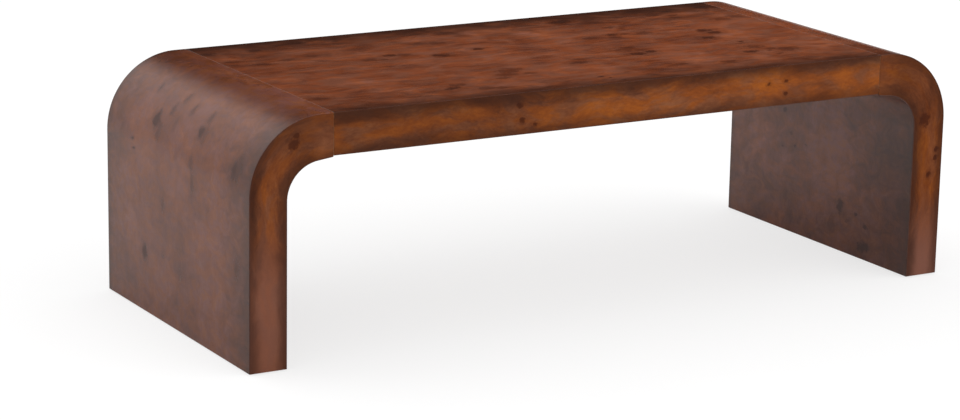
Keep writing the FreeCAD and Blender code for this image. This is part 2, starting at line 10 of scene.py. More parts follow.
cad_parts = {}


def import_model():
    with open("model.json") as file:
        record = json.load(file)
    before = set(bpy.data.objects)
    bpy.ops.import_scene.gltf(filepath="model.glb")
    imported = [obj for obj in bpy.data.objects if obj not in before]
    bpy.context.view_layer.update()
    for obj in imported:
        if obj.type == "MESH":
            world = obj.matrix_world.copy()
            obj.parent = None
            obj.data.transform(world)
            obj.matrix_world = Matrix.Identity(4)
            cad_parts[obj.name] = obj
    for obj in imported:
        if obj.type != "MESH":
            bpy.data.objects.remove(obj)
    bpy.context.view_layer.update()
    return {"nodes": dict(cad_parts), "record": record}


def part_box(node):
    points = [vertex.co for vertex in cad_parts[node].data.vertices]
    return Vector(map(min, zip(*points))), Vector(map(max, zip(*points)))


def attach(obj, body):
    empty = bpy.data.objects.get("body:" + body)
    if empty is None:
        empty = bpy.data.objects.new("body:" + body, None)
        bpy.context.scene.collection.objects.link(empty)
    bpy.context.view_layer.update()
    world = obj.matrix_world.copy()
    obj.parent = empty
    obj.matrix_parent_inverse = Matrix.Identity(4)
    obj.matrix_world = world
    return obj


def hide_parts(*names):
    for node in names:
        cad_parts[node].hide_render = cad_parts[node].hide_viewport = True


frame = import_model()

# Sizes that the frame gives
TOP_LOW, TOP_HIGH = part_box("top_veneer")
LEG_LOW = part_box("left_outer_veneer")[0]
INSIDE_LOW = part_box("left_inner_veneer")[0]
VENEER = TOP_HIGH.z - TOP_LOW.z
HALF_LENGTH = -LEG_LOW.x
HALF_DEPTH = TOP_HIGH.y
DEPTH = 2 * HALF_DEPTH
SEAM_X = TOP_HIGH.x
SEAM_IN = HALF_LENGTH - SEAM_X
HEIGHT = TOP_HIGH.z
FOOT = LEG_LOW.z
LEG_THICKNESS = INSIDE_LOW.x + VENEER - LEG_LOW.x
PANEL_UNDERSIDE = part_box("bottom_veneer")[0].z

# Sizes of the bend and of the softened borders
BEND_RADIUS = 0.1275
UNDERSIDE_SLOPE = math.radians(7)
SEAM_STEP = 0.002
SEAM_BEVEL = 0.0007
ARRIS_RADIUS = 0.0008
ARRIS_STEPS = 4
WEAR_WIDTH = 0.0012
BEND_STEPS = 60
LEG_STEPS = 8
PANEL_STEPS = 12
SMOOTH_UP_TO = math.radians(35)

# The camera stands to the left of the front and looks a little down
CAMERA_PLACE = Vector((-2.6714, -4.4160, 1.4448))
CAMERA_AIM = Vector((-0.1041, 0.0, 0.1415))
CAMERA_ROLL = math.radians(1.03)
CAMERA_LENS_MM = 113.68
SENSOR_WIDTH_MM = 36.0
CAMERA_SEES = 500.0


def colour(text):
    """A colour written as six hexadecimal digits of sRGB, as linear red, green, blue and alpha."""
    parts = [int(text[i:i + 2], 16) / 255 for i in (0, 2, 4)]
    linear = [p / 12.92 if p <= 0.04045 else ((p + 0.055) / 1.055) ** 2.4 for p in parts]
    return (*linear, 1.0)


# Meshes

class Station:
    """One cross-section's place along a sheet: a start point, the way across, the way in, the width
    across and the length of grain up to here."""

    def __init__(self, start, across, inward, width, along):
        self.start = Vector(start)
        self.across = Vector(across)
        self.inward = Vector(inward)
        self.width = width
        self.along = along


def border_profile(width, radius, drop):
    """One half of a cross-section's seen side, border to middle: (across, depth, wear and painted
    highlight).
    """
    # Only the seam bevels get the mark: wear, and a painted highlight where the bevel would catch the light
    worn_and_lit = 1.0 if drop else 0.0
    points = []
    if radius:
        for turn in stretch(0.0, math.pi / 2, ARRIS_STEPS):
            points.append((drop + radius * (1 - math.sin(turn)), drop + radius * (1 - math.cos(turn)), worn_and_lit))
        points.reverse()
    else:
        points.append((drop, drop, worn_and_lit))
    points.append((drop + radius + WEAR_WIDTH, drop, worn_and_lit))
    points.append((width / 4, drop, worn_and_lit))
    return points


def cross_section(width, radius, drop):
    """A whole cross-section: a corner of its back, both halves of its seen side and the other corner."""
    half = border_profile(width, radius, drop)
    points = [(drop, VENEER, 0.0)]
    points += half
    points.append((width / 2, drop, half[-1][2]))
    points += [(width - across, depth, worn_and_lit) for across, depth, worn_and_lit in reversed(half)]
    points.append((width - drop, VENEER, 0.0))
    return points


def sheet(name, node, material, stations, radius, bevels, layer):
    """A veneer sheet that takes a CAD node's place. bevels says which of its two ends are bevelled."""
    sections = []
    for index, station in enumerate(stations):
        at_start = index == 0 and bevels[0]
        at_end = index == len(stations) - 1 and bevels[1]
        drop = SEAM_BEVEL if at_start or at_end else 0.0
        sections.append((station, cross_section(station.width, radius, drop)))
    mesh = bmesh.new()
    grain = mesh.verts.layers.float_vector.new("grain")
    rim = mesh.verts.layers.float.new("rim")
    # The seam mark: wear, and a painted highlight
    wear_and_highlight = mesh.verts.layers.float.new("wear_and_highlight")
    rings = []
    for station, section in sections:
        ring = []
        for across, depth, worn_and_lit in section:
            vert = mesh.verts.new(station.start + station.across * across + station.inward * depth)
            vert[grain] = (station.along, across - station.width / 2, layer)
            vert[rim] = min(across, station.width - across)
            vert[wear_and_highlight] = worn_and_lit
            ring.append(vert)
        rings.append(ring)
    count = len(rings[0])
    for ring, following in zip(rings, rings[1:]):
        for i in range(count):
            j = (i + 1) % count
            mesh.faces.new((ring[i], ring[j], following[j], following[i]))
    mesh.faces.new(rings[0])
    mesh.faces.new(list(reversed(rings[-1])))
    bmesh.ops.recalc_face_normals(mesh, faces=mesh.faces[:])
    for face in mesh.faces:
        face.smooth = True
    for edge in mesh.edges:
        edge.smooth = edge.calc_face_angle(0.0) < SMOOTH_UP_TO
    data = bpy.data.meshes.new(name)
    mesh.to_mesh(data)
    mesh.free()
    data.materials.append(material)
    piece = bpy.data.objects.new(name, data)
    bpy.context.scene.collection.objects.link(piece)
    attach(piece, "root")
    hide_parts(node)
    return piece


def stretch(first, last, steps):
    """Evenly spaced values from first to last, both included."""
    return [first + (last - first) * i / steps for i in range(steps + 1)]


def outer_line():
    """The outer face's line from the foot to the seam: (distance in from the end, height, the way in)."""
    line = [(0.0, z, (1.0, 0.0)) for z in stretch(FOOT, HEIGHT - BEND_RADIUS, LEG_STEPS)]
    for turn in stretch(0.0, math.pi / 2, BEND_STEPS)[1:]:
        out = (-math.cos(turn), math.sin(turn))
        line.append((BEND_RADIUS * (1 + out[0]), HEIGHT - BEND_RADIUS * (1 - out[1]), (-out[0], -out[1])))
    line.append((SEAM_IN - SEAM_BEVEL, HEIGHT, (0.0, -1.0)))
    line.append((SEAM_IN, HEIGHT, (0.0, -1.0)))
    return line


def inner_line():
    """The inner face's line, point for point beside the outer one: the way in leads into the leg."""
    radius = BEND_RADIUS - LEG_THICKNESS
    full_turn = math.pi / 2 - UNDERSIDE_SLOPE
    slope = math.tan(UNDERSIDE_SLOPE)
    run = SEAM_IN - BEND_RADIUS + radius * math.cos(full_turn)
    centre_z = PANEL_UNDERSIDE - SEAM_STEP - run * slope - radius * math.sin(full_turn)
    line = [(LEG_THICKNESS, z, (-1.0, 0.0)) for z in stretch(FOOT, centre_z, LEG_STEPS)]
    for turn in stretch(0.0, full_turn, BEND_STEPS)[1:]:
        out = (-math.cos(turn), math.sin(turn))
        line.append((BEND_RADIUS + radius * out[0], centre_z + radius * out[1], out))
    end_z = PANEL_UNDERSIDE - SEAM_STEP
    way = (-math.sin(UNDERSIDE_SLOPE), math.cos(UNDERSIDE_SLOPE))
    line.append((SEAM_IN - SEAM_BEVEL, end_z - SEAM_BEVEL * slope, way))
    line.append((SEAM_IN, end_z, way))
    return line


def lengths(line):
    """How far along a line each of its points lies."""
    total = 0.0
    found = [0.0]
    for (u0, z0, _), (u1, z1, _) in zip(line, line[1:]):
        total += math.hypot(u1 - u0, z1 - z0)
        found.append(total)
    return found


def face_stations(line, side):
    """Stations of a leg's outer or inner sheet, the full depth of the table wide."""
    along = lengths(line)
    stations = []
    for (u, z, way), run in zip(line, along):
        start = (side * (HALF_LENGTH - u), -HALF_DEPTH, z)
        inward = (-side * way[0], 0.0, way[1])
        grain = side * (SEAM_X + along[-1] - run)
        stations.append(Station(start, (0.0, 1.0, 0.0), inward, DEPTH, grain))
    return stations


def under_veneer(point, side, facing):
    """The place on the front (facing -1) or back (facing 1) just under the veneer at a line's point."""
    u, z, way = point
    return Vector((side * (HALF_LENGTH - u - VENEER * way[0]), facing * HALF_DEPTH, z + VENEER * way[1]))


def edge_stations(side, facing):
    """Stations of a leg's front (facing -1) or back (facing 1) edge, from the outer sheet to the inner."""
    outer = outer_line()
    inner = inner_line()
    along = [(a + b) / 2 for a, b in zip(lengths(outer), lengths(inner))]
    stations = []
    for outer_point, inner_point, run in zip(outer, inner, along):
        start = under_veneer(outer_point, side, facing)
        gap = under_veneer(inner_point, side, facing) - start
        grain = side * (SEAM_X + along[-1] - run)
        stations.append(Station(start, gap.normalized(), (0.0, -facing, 0.0), gap.length, grain))
    return stations


def panel_stations(y, z, across, inward, width):
    """Stations of a sheet of the top panel, from the left seam to the right."""
    places = [-SEAM_X]
    places += stretch(-SEAM_X + SEAM_BEVEL, SEAM_X - SEAM_BEVEL, PANEL_STEPS)
    places.append(SEAM_X)
    return [Station((x, y, z), across, inward, width, x) for x in places]


# Eyes and knots: a dark spot in a ringed stain, with distances in the spot's own radii

OUTLINE_SWING = 3.6
SPOT_EDGE = (0.7, 1.35)
STAIN_EDGE = (0.6, 3.0)
RING_TURNS = 7.0
RING_DEPTH = 0.3
FAR_AWAY = 9.0
EYE_STAIN = 0.4
PIN_STAIN = 0.25

# Eyes stand where a slow noise and their cell's own chance are high. Pins are the small eyes.
CELL_RANDOMNESS = 0.9
CLUSTER_NOISE = {"scale": 8.5, "detail": 1.5}
CHANCE_SWING = 0.16
CLUSTER_EDGE = 0.04
PINS_PER_EYE = 2.3
PIN_RARITY = 0.01


# Node trees

class Nodes:
    """Builds the nodes of one tree."""

    def __init__(self, tree):
        self.tree = tree

    def add(self, kind, inputs=None, **settings):
        """A node with its settings, whose inputs are sockets or plain values, found by name or number."""
        node = self.tree.nodes.new(kind)
        for key, value in settings.items():
            setattr(node, key, value)
        for key, value in (inputs or {}).items():
            self.connect(value, node.inputs[key])
        return node

    def connect(self, value, socket):
        """Links a socket, or sets a plain value."""
        if isinstance(value, bpy.types.NodeSocket):
            self.tree.links.new(value, socket)
        else:
            socket.default_value = value

    def attribute(self, name):
        return self.add("ShaderNodeAttribute", attribute_name=name)

    def place(self):
        return self.add("ShaderNodeTexCoord").outputs["Object"]

    def split(self, vector):
        return self.add("ShaderNodeSeparateXYZ", {0: vector}).outputs

    def maths(self, operation, first, second=0.0, clamp=False):
        node = self.add("ShaderNodeMath", {0: first, 1: second}, operation=operation, use_clamp=clamp)
        return node.outputs[0]

    def vector_maths(self, operation, first, second):
        return self.add("ShaderNodeVectorMath", {0: first, 1: second}, operation=operation).outputs

    def scaled(self, vector, factors):
        return self.vector_maths("MULTIPLY", vector, factors)[0]

    def noise(self, vector, scale=1.0, detail=3.0, roughness=0.5, distortion=0.0):
        inputs = {"Vector": vector, "Scale": scale, "Detail": detail,
                  "Roughness": roughness, "Distortion": distortion}
        return self.add("ShaderNodeTexNoise", inputs).outputs

    def swing(self, noise, gain):
        """A noise that swings about its middle, gain times as far."""
        return self.maths("MULTIPLY", self.maths("SUBTRACT", noise, 0.5), gain)

    def total(self, first, *others):
        """The sum of sockets and plain values."""
        for other in others:
            first = self.maths("ADD", first, other)
        return first

    def between(self, value, low, high, to_low=0.0, to_high=1.0):
        """value's place between low and high, eased and clamped."""
        inputs = {"Value": value, "From Min": low, "From Max": high, "To Min": to_low, "To Max": to_high}
        return self.add("ShaderNodeMapRange", inputs, interpolation_type="SMOOTHSTEP").outputs[0]

    def mix(self, factor, first, second, blend="MIX"):
        node = self.add("ShaderNodeMix", data_type="RGBA", blend_type=blend)
        self.connect(factor, node.inputs[0])
        self.connect(first, node.inputs[6])
        self.connect(second, node.inputs[7])
        return node.outputs[2]

    def ramp(self, value, stops):
        """A colour ramp through stops of (place, colour)."""
        node = self.add("ShaderNodeValToRGB", {0: value})
        elements = node.color_ramp.elements
        while len(elements) < len(stops):
            elements.new(0.5)
        for element, (place, shade) in zip(elements, stops):
            element.position = place
            element.color = shade
        return node.outputs["Color"]

    def warp(self, vector, scale, amount):
        """vector, pushed about by a slow noise."""
        push = self.noise(vector, scale, detail=2.0)["Color"]
        centred = self.vector_maths("SUBTRACT", push, (0.5, 0.5, 0.5))[0]
        moved = self.scaled(centred, (amount, amount, 0.0))
        return self.vector_maths("ADD", vector, moved)[0]

    def stained(self, near, ragged_by, present, depth):
        """A dark spot and the ringed stain around it, from how near it is in its own radii."""
        uneven = self.maths("ADD", near, self.swing(ragged_by, OUTLINE_SWING))
        spot = self.maths("MULTIPLY", self.between(uneven, *SPOT_EDGE, 1.0, 0.0), present)
        wave = self.maths("SINE", self.maths("MULTIPLY", near, RING_TURNS))
        wave = self.maths("MULTIPLY", wave, RING_DEPTH * depth)
        rings = self.maths("MULTIPLY", self.maths("ADD", wave, depth), present)
        return spot, self.maths("MULTIPLY", self.between(uneven, *STAIN_EDGE, 1.0, 0.0), rings)

    def eyes(self, place, ragged_by, group, depth):
        """Dark eyes, one to a cell: wide or narrow by the cell's own chance, and only where they cluster."""
        inputs = {"Vector": place, "Scale": group.per_metre, "Randomness": CELL_RANDOMNESS}
        cells = self.add("ShaderNodeTexVoronoi", inputs)
        chance = self.add("ShaderNodeSeparateColor", {"Color": cells.outputs["Color"]}).outputs
        cluster = self.noise(cells.outputs["Position"], **CLUSTER_NOISE)["Fac"]
        chosen = self.maths("ADD", cluster, self.swing(chance[1], CHANCE_SWING))
        present = self.between(chosen, group.threshold, group.threshold + CLUSTER_EDGE)
        radius = self.between(chance[0], 0.0, 1.0, group.least_radius, group.greatest_radius)
        near = self.maths("DIVIDE", cells.outputs["Distance"], radius)
        return self.stained(near, ragged_by, present, depth)

    def knots(self, place, ragged_by, group, depth):
        """Dark knots at chosen places along and across the grain of one sheet."""
        near = FAR_AWAY
        place = self.scaled(place, (1 / group.long_by, 1.0, 1.0))
        for along, across, radius in group.places:
            centre = (along / group.long_by, across, group.layer)
            away = self.vector_maths("DISTANCE", place, centre)["Value"]
            near = self.maths("MINIMUM", self.maths("DIVIDE", away, radius), near)
        return self.stained(near, ragged_by, group.strength, depth)


class Shader(Nodes):
    """A material's nodes around one Principled shader."""

    def __init__(self, name, **constants):
        self.material = bpy.data.materials.new(name)
        self.material.use_nodes = True
        super().__init__(self.material.node_tree)
        self.surface = self.tree.nodes["Principled BSDF"]
        for key, value in constants.items():
            self.surface.inputs[key.replace("_", " ")].default_value = value

    def roughened(self, least, noise, by):
        """A roughness that grows from least with a noise."""
        return self.maths("ADD", least, self.maths("MULTIPLY", noise, by))

    def finish(self, base, roughness, height, strength, distance):
        """The material, with its colour, its roughness and a bump from height."""
        self.connect(base, self.surface.inputs["Base Color"])
        self.connect(roughness, self.surface.inputs["Roughness"])
        bump = self.add("ShaderNodeBump", {"Height": height, "Strength": strength, "Distance": distance})
        self.tree.links.new(bump.outputs[0], self.surface.inputs["Normal"])
        return self.material


# The burl's noises, with scales and stretches in cells per metre of grain

SWAY = {"scale": 5.0, "amount": 0.040}
SWIRL = {"scale": 22.0, "amount": 0.016}
CLOUD_NOISE = {"scale": 8.0, "detail": 2.0}
FIGURE_NOISE = {"scale": 24.0, "detail": 4.0, "roughness": 0.6, "distortion": 0.8}
DRIFT_NOISE = {"scale": 45.0, "detail": 4.0, "roughness": 0.55, "distortion": 0.4}
STREAK_NOISE = {"detail": 5.0, "roughness": 0.65, "distortion": 0.5}
STREAK_LAYERS = 4.0
FINE_STREAK_NOISE = {"detail": 4.0, "roughness": 0.65}
FINE_STREAK_LAYERS = 9.0
FINER = 4
PORE_NOISE = {"detail": 2.0}
PORE_STRETCH = (260.0, 1900.0, 20.0)
RAGGED_NOISE = {"scale": 100.0, "detail": 5.0, "roughness": 0.75}
SKIN_NOISE = {"scale": 160.0, "detail": 2.0}

# Where the burl's colours meet, as levels of its tone and its noises
TONE_MIDDLE = 0.5
TONE_STOPS = (0.15, 0.5, 0.85)
DRIFT_EDGE = (0.38, 0.62)
PORE_EDGE = (0.60, 0.72)
PORE_DARKNESS = 0.3
# Pale seam lines: part wear, part painted highlight
WORN_AND_LIT_STREAKS = (0.35, 0.7)
LEAST_WORN_AND_LIT = 0.3

# Where darkening sets in or ends, in metres along from the table's middle, out from the seam, and across
FADE_SPAN = (-0.35, 0.15)
BAND_RISE = (0.015, 0.05)
BAND_FALL = (0.06, 0.11)
CLEAR_SPAN = (0.03, 0.11)
FRONT_TO_BACK = (-0.1, 0.1)

# The lacquer's gloss and relief
CLOUD_GLOSS = 0.08
SPOT_GLOSS = 0.1
PORE_HEIGHT = -0.5
STREAK_HEIGHT = 0.5
RELIEF_STRENGTH = 0.08
RELIEF_DEPTH = 0.0003

# A dark layer along the long borders: how wide it is and how much it covers, at the front and the back.
# On the narrow edge sheets the outer border is nearer to the front's values, the inner one to the back's.
Toning = namedtuple("Toning", "front_width front_share back_width back_share")
# Cells per metre, the noise level above which eyes cluster, radii in cells, and how dark they are
Eyes = namedtuple("Eyes", "per_metre threshold least_radius greatest_radius darkness")
Lacquer = namedtuple("Lacquer", "ior roughness")
# How strong each noise is, how short the figure is along the grain, and the streaks' cells per metre
Pattern = namedtuple("Pattern", "clouds figure streaks fine_streaks shorter streaks_along streaks_across")
# Knots of one sheet, each with its place and radius, all long_by times as long as they are wide
Knots = namedtuple("Knots", "layer strength long_by places")
# A colour that covers share of the burl up to the height low, and fades out up to the height high
Foot = namedtuple("Foot", "colour low high share")


def burl(name, brown, rose, toning, eyes, lacquer, pattern, rubbed, knots=(), foot=None, bend=0.0, fade=0.0):
    """Lacquered burl veneer: cloudy and streaked figure, clusters of dark eyes, borders toned dark.
    brown and rose: deep, middle and pale colours, between which the hue drifts.
    rubbed: how pale the seams are, part wear and part painted highlight. fade: how much darker the left end
    is.
    bend: how dark the band between the seam and the bend is, where the front border isn't toned."""
    shader = Shader(name, IOR=lacquer.ior)
    grain = shader.attribute("grain").outputs["Vector"]
    rim = shader.attribute("rim").outputs["Fac"]
    wear_and_highlight = shader.attribute("wear_and_highlight").outputs["Fac"]
    swirled = shader.warp(shader.warp(grain, **SWAY), **SWIRL)
    cloud = shader.noise(swirled, **CLOUD_NOISE)["Fac"]
    drawn_out = shader.scaled(swirled, (pattern.shorter, 1.0, 1.0))
    figure = shader.noise(drawn_out, **FIGURE_NOISE)["Fac"]
    drift = shader.noise(drawn_out, **DRIFT_NOISE)["Fac"]
    streaked = shader.scaled(swirled, (pattern.streaks_along, pattern.streaks_across, STREAK_LAYERS))
    streak = shader.noise(streaked, **STREAK_NOISE)["Fac"]
    finely = (pattern.streaks_along * FINER, pattern.streaks_across * FINER, FINE_STREAK_LAYERS)
    fine = shader.noise(shader.scaled(swirled, finely), **FINE_STREAK_NOISE)["Fac"]
    pores = shader.noise(shader.scaled(swirled, PORE_STRETCH), **PORE_NOISE)["Fac"]
    ragged = shader.noise(grain, **RAGGED_NOISE)["Fac"]

    swings = [shader.swing(cloud, pattern.clouds), shader.swing(figure, pattern.figure),
              shader.swing(streak, pattern.streaks), shader.swing(fine, pattern.fine_streaks)]
    tone = shader.total(TONE_MIDDLE, *swings)
    browns = shader.ramp(tone, list(zip(TONE_STOPS, brown)))
    roses = shader.ramp(tone, list(zip(TONE_STOPS, rose)))
    base = shader.mix(shader.between(drift, *DRIFT_EDGE), browns, roses)
    base = shader.mix(shader.between(pores, *PORE_EDGE, 0.0, PORE_DARKNESS), base, EYE)

    spot, stain = shader.eyes(drawn_out, ragged, eyes, EYE_STAIN)
    pins = eyes._replace(per_metre=eyes.per_metre * PINS_PER_EYE, threshold=eyes.threshold + PIN_RARITY)
    others = [shader.eyes(drawn_out, ragged, pins, PIN_STAIN)]
    others += [shader.knots(grain, ragged, group, EYE_STAIN) for group in knots]
    for other, other_stain in others:
        spot = shader.maths("MAXIMUM", spot, other)
        stain = shader.maths("MAXIMUM", stain, other_stain)
    base = shader.mix(stain, base, EYE)
    base = shader.mix(shader.maths("MULTIPLY", spot, eyes.darkness), base, EYE)

    # Towards the floor: painted shade on the leg faces, a paler colour on the edges
    if foot:
        height = shader.split(shader.place())[2]
        base = shader.mix(shader.between(height, foot.low, foot.high, foot.share, 0.0), base, foot.colour)
    along, across, _ = shader.split(grain)
    from_seam = shader.maths("SUBTRACT", shader.maths("ABSOLUTE", along), SEAM_X)
    clear = 1.0
    # The left end darker, by fade
    if fade:
        base = shader.mix(shader.between(along, *FADE_SPAN, fade, 0.0), base, TONER_AND_PAINTED_SHADE)
    if bend:
        rise = shader.between(from_seam, *BAND_RISE)
        fall = shader.between(from_seam, *BAND_FALL, 1.0, 0.0)
        band = shader.maths("MULTIPLY", rise, fall)
        base = shader.mix(shader.maths("MULTIPLY", band, bend), base, TONER_AND_PAINTED_SHADE)
        clear = shader.between(shader.maths("ABSOLUTE", from_seam), *CLEAR_SPAN)
    for layer in toning:
        width = shader.between(across, *FRONT_TO_BACK, layer.front_width, layer.back_width)
        front_share = shader.maths("MULTIPLY", clear, layer.front_share)
        share = shader.between(across, *FRONT_TO_BACK, front_share, layer.back_share)
        uneven = shader.maths("ADD", rim, shader.maths("MULTIPLY", shader.swing(figure, 1.0), width))
        inwards = shader.between(shader.maths("DIVIDE", uneven, width), 0.0, 1.0)
        reach = shader.maths("SUBTRACT", 1.0, inwards)
        base = shader.mix(shader.maths("MULTIPLY", reach, share), base, TONER_AND_PAINTED_SHADE)
    # Pale seam lines on the bevels: part wear, part painted highlight
    worn_and_lit_by = shader.between(streak, *WORN_AND_LIT_STREAKS, LEAST_WORN_AND_LIT * rubbed, rubbed)
    base = shader.mix(shader.maths("MULTIPLY", wear_and_highlight, worn_and_lit_by), base, RUBBED_AND_HIGHLIT)

    gloss = shader.total(lacquer.roughness - CLOUD_GLOSS / 2,
                         shader.maths("MULTIPLY", cloud, CLOUD_GLOSS),
                         shader.maths("MULTIPLY", spot, SPOT_GLOSS))
    relief = shader.total(shader.noise(grain, **SKIN_NOISE)["Fac"],
                          shader.maths("MULTIPLY", pores, PORE_HEIGHT),
                          shader.maths("MULTIPLY", streak, STREAK_HEIGHT))
    return shader.finish(base, gloss, relief, RELIEF_STRENGTH, RELIEF_DEPTH)


# How many times finer wood's fibre is than its rings, and metal's grain than its blotches
FIBRE_FINER = 6
GRAIN_FINER = 8


def raw_wood(name, pale, deep, stretch_by):
    """Planed or peeled wood with straight grain, read from the piece's own place."""
    shader = Shader(name, Specular_IOR_Level=0.3)
    swayed = shader.warp(shader.place(), scale=5.0, amount=0.02)
    rings = shader.noise(shader.scaled(swayed, stretch_by), detail=4.0, roughness=0.6)["Fac"]
    finer = tuple(FIBRE_FINER * factor for factor in stretch_by)
    fibre = shader.noise(shader.scaled(swayed, finer), detail=3.0, roughness=0.6)["Fac"]
    base = shader.mix(shader.between(rings, low=0.35, high=0.65), pale, deep)
    base = shader.mix(shader.between(fibre, low=0.4, high=0.7, to_high=0.4), base, deep)
    rough = shader.roughened(least=0.62, noise=fibre, by=0.2)
    return shader.finish(base, rough, fibre, strength=0.25, distance=0.0005)


def metal(name, pale, deep, roughness, grain):
    """Plated or cast metal with a fine, uneven skin."""
    shader = Shader(name, Metallic=1.0)
    place = shader.place()
    skin = shader.noise(place, grain, detail=4.0, roughness=0.6)["Fac"]
    blotch = shader.noise(place, grain / GRAIN_FINER, detail=2.0)["Fac"]
    base = shader.mix(shader.between(blotch, low=0.35, high=0.65), pale, deep)
    rough = shader.roughened(least=roughness, noise=skin, by=0.18)
    return shader.finish(base, rough, skin, strength=0.15, distance=0.0002)


def plastic(name, body, rubbed, roughness):
    """Moulded plastic with a fine spark-eroded skin and paler rubbed places."""
    shader = Shader(name, Specular_IOR_Level=0.45)
    place = shader.place()
    skin = shader.noise(place, scale=2200.0, detail=2.0, roughness=0.6)["Fac"]
    scuff = shader.noise(shader.scaled(place, (300.0, 900.0, 300.0)), detail=3.0)["Fac"]
    base = shader.mix(shader.between(scuff, low=0.58, high=0.75, to_high=0.5), body, rubbed)
    rough = shader.roughened(least=roughness, noise=scuff, by=0.2)
    return shader.finish(base, rough, skin, strength=0.3, distance=0.0001)


# Finishes

TOP_BROWN = [colour(c) for c in ("663119", "874629", "A25C38")]
TOP_ROSE = [colour(c) for c in ("5F3022", "7D4A35", "955B47")]
LEG_BROWN = [colour(c) for c in ("592B12", "763F22", "875138")]
LEG_ROSE = [colour(c) for c in ("52291C", "6E3F31", "7F5046")]
AMBER = [colour(c) for c in ("5E2E16", "7C411C", "985320")]
AMBER_ROSE = [colour(c) for c in ("502C1C", "704028", "8A5436")]
DULL = [colour(c) for c in ("4C2D20", "6A4130", "80543E")]
AMBER_RED = [colour(c) for c in ("5B2B10", "793C13", "935018")]
AMBER_RED_ROSE = [colour(c) for c in ("522A15", "723D20", "8C4F2A")]
AMBER_BRIGHT = [colour(c) for c in ("683518", "8B481C", "A75B1F")]
AMBER_ROSE_BRIGHT = [colour(c) for c in ("58301F", "7A472C", "955D3B")]
PALED = colour("845748")
EYE = colour("431A06")
# Dark toner for the borders and bands, painted shade towards the floor, and the darker left end
TONER_AND_PAINTED_SHADE = colour("341A10")
# The seam lines' pale colour: wear and painted highlight
RUBBED_AND_HIGHLIT = colour("A87E5C")

# Layers of the grain, one to a sheet, so that no two sheets are alike
TOP_LAYER = 0.2
OUTSIDE_LAYERS = {-1: -1.3, 1: 1.3}
INSIDE_LAYERS = {-1: -2.3, 1: 2.3}
EDGE_LAYERS = {(-1, -1): -4.0, (-1, 1): -2.6, (1, -1): 3.1, (1, 1): 4.4, (0, -1): 8.3, (0, 1): 7.4}
UNDERSIDE_LAYER = 5.1

# Knots: how far along from the middle of the table, how far across from the middle of the sheet, radius
TOP_DARK_KNOTS = (
    (-0.520, 0.218, 0.010), (-0.435, 0.215, 0.009), (-0.243, 0.080, 0.008), (-0.162, 0.045, 0.010),
    (-0.158, 0.037, 0.006), (-0.077, 0.065, 0.008), (0.186, 0.219, 0.011), (0.198, 0.230, 0.008),
    (0.156, -0.090, 0.010), (0.185, -0.081, 0.008), (0.206, 0.075, 0.007), (0.380, 0.042, 0.010),
    (0.388, 0.018, 0.009), (0.350, -0.018, 0.009), (0.346, -0.157, 0.009), (0.420, 0.228, 0.008),
    (0.505, 0.234, 0.009),
)
TOP_FAINT_KNOTS = (
    (-0.474, 0.104, 0.009), (-0.420, 0.119, 0.008), (-0.290, 0.059, 0.009), (-0.270, 0.054, 0.006),
    (-0.217, 0.075, 0.008), (-0.147, 0.147, 0.011), (-0.118, 0.143, 0.010), (-0.060, 0.213, 0.011),
    (-0.259, -0.183, 0.009), (-0.224, -0.226, 0.009), (-0.204, -0.231, 0.008), (-0.158, -0.167, 0.008),
    (-0.143, -0.146, 0.012), (-0.125, -0.121, 0.012), (-0.107, -0.113, 0.008), (-0.099, -0.150, 0.007),
    (-0.368, 0.130, 0.009), (-0.512, 0.140, 0.007), (-0.520, 0.115, 0.006), (-0.513, -0.180, 0.010),
    (0.022, -0.109, 0.009), (0.035, -0.085, 0.007), (0.155, 0.066, 0.009), (0.200, 0.055, 0.007),
    (0.230, 0.072, 0.006), (0.270, 0.069, 0.009), (0.235, 0.195, 0.013), (0.238, 0.138, 0.008),
    (0.168, -0.035, 0.008), (0.158, -0.050, 0.011), (0.176, -0.062, 0.008), (0.395, -0.148, 0.007),
    (0.424, -0.158, 0.012), (0.262, -0.214, 0.010), (0.400, 0.166, 0.007), (0.411, 0.190, 0.007),
    (0.378, 0.204, 0.008), (0.470, 0.124, 0.012), (0.515, 0.134, 0.012), (0.378, -0.123, 0.010),
    (0.178, -0.193, 0.006),
)
OUTSIDE_DARK_KNOTS = (
    (-0.700, 0.097, 0.010), (-0.935, 0.126, 0.009), (-0.722, -0.215, 0.008), (-0.688, -0.066, 0.008),
)
OUTSIDE_FAINT_KNOTS = (
    (-0.645, 0.147, 0.005), (-0.645, 0.040, 0.007), (-0.660, -0.003, 0.006), (-0.660, -0.068, 0.007),
    (-0.688, -0.080, 0.008), (-0.714, -0.228, 0.012), (-0.740, -0.062, 0.007), (-0.837, 0.050, 0.007),
    (-0.875, -0.233, 0.009), (-0.775, -0.066, 0.007), (-0.716, 0.078, 0.009), (-0.672, 0.060, 0.006),
)
INSIDE_DARK_KNOTS = ((0.842, -0.076, 0.008),)
INSIDE_FAINT_KNOTS = (
    (0.858, 0.095, 0.007), (0.892, 0.078, 0.008), (0.834, 0.224, 0.008), (0.883, -0.053, 0.009),
)
LEFT_EDGE_KNOTS = ((-0.605, -0.007, 0.008), (-0.598, -0.016, 0.004))
RIGHT_EDGE_KNOTS = (
    (0.694, 0.011, 0.011), (0.755, -0.020, 0.004), (0.770, -0.019, 0.004), (0.798, -0.005, 0.004),
)
TOP_EDGE_KNOTS = (
    (-0.195, -0.014, 0.004), (-0.190, 0.011, 0.004), (-0.165, 0.020, 0.003),
    (0.300, -0.005, 0.003), (0.335, -0.007, 0.003), (0.335, 0.015, 0.003),
)

